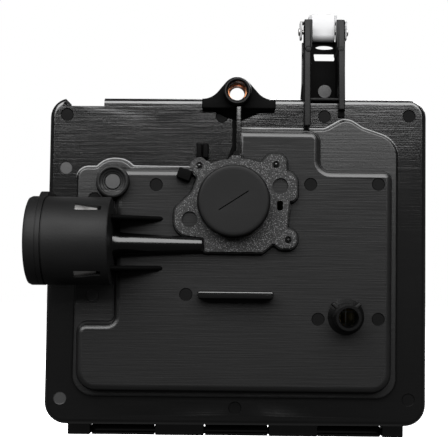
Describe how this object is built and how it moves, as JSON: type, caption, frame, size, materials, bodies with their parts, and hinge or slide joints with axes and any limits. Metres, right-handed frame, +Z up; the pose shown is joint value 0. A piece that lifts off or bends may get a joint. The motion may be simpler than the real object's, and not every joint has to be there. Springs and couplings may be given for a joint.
{
  "type": "small engine air filter housing",
  "caption": "Flat-panel air filter housing for a small engine: moulded base with carburettor face, primer bulb and breather spigot, hinged cover and steel latch clip.",
  "frame": {"origin": "midpoint between the two carburettor screws, at the throat's centre on the outer face of the gasket", "axes": "-Y out of the carburettor face, +Y towards the cover, +Z up towards the latch, +X away from the primer"},
  "size_m": [0.1547, 0.074, 0.1748],
  "materials": {
    "black_plastic": "brushed satin moulding",
    "cover_plastic": "fine spark-eroded texture",
    "gasket_fibre": "speckled grey fibre",
    "cap_plastic": "satin push-in cap",
    "bush_copper": "copper-flashed steel sleeve",
    "clip_steel": "zinc-plated spring steel",
    "zinc_steel": "zinc-plated stamping",
    "bulb_rubber": "red translucent rubber",
    "filter_urethane": "soft cast urethane",
    "filter_paper": "resin-treated pleated paper",
    "filter_wire": "expanded wire screen",
    "foam": "open-cell foam"
  },
  "bodies": {
    "base": {"base_shell": "black_plastic", "mount_ear": "black_plastic", "latch_tower": "black_plastic", "primer_housing": "black_plastic", "breather_spigot": "black_plastic", "hinge_bar": "black_plastic", "carb_gasket": "gasket_fibre", "mount_bush": "bush_copper", "latch_pin": "zinc_steel", "bulb_retainer": "zinc_steel", "filter_frame": "filter_urethane", "filter_pleats": "filter_paper", "filter_screen": "filter_wire", "foam_precleaner": "foam"},
    "cover": {"cover_shell": "cover_plastic", "catch_arm": "cover_plastic"},
    "latch": {"latch_clip": "clip_steel"},
    "primer": {"primer_bulb": "bulb_rubber"},
    "cap": {"throat_cap": "cap_plastic"}
  },
  "joints": [
    {"name": "cover_hinge", "type": "hinge", "parent": "base", "child": "cover", "pos_m": [0, 0.0305, -0.0938], "axis": [-1, 0, 0], "range_deg": [0, 110]},
    {"name": "latch_swing", "type": "hinge", "parent": "base", "child": "latch", "pos_m": [0.0362, 0.022, 0.0717], "axis": [-1, 0, 0], "range_deg": [0, 90]},
    {"name": "primer_press", "type": "slide", "parent": "base", "child": "primer", "axis": [1, 0, 0], "range_m": [0, 0.005], "stiffness_N_per_m": 2400},
    {"name": "cap_pull", "type": "slide", "parent": "base", "child": "cap", "axis": [0, -1, 0], "range_m": [0, 0.02]}
  ]
}
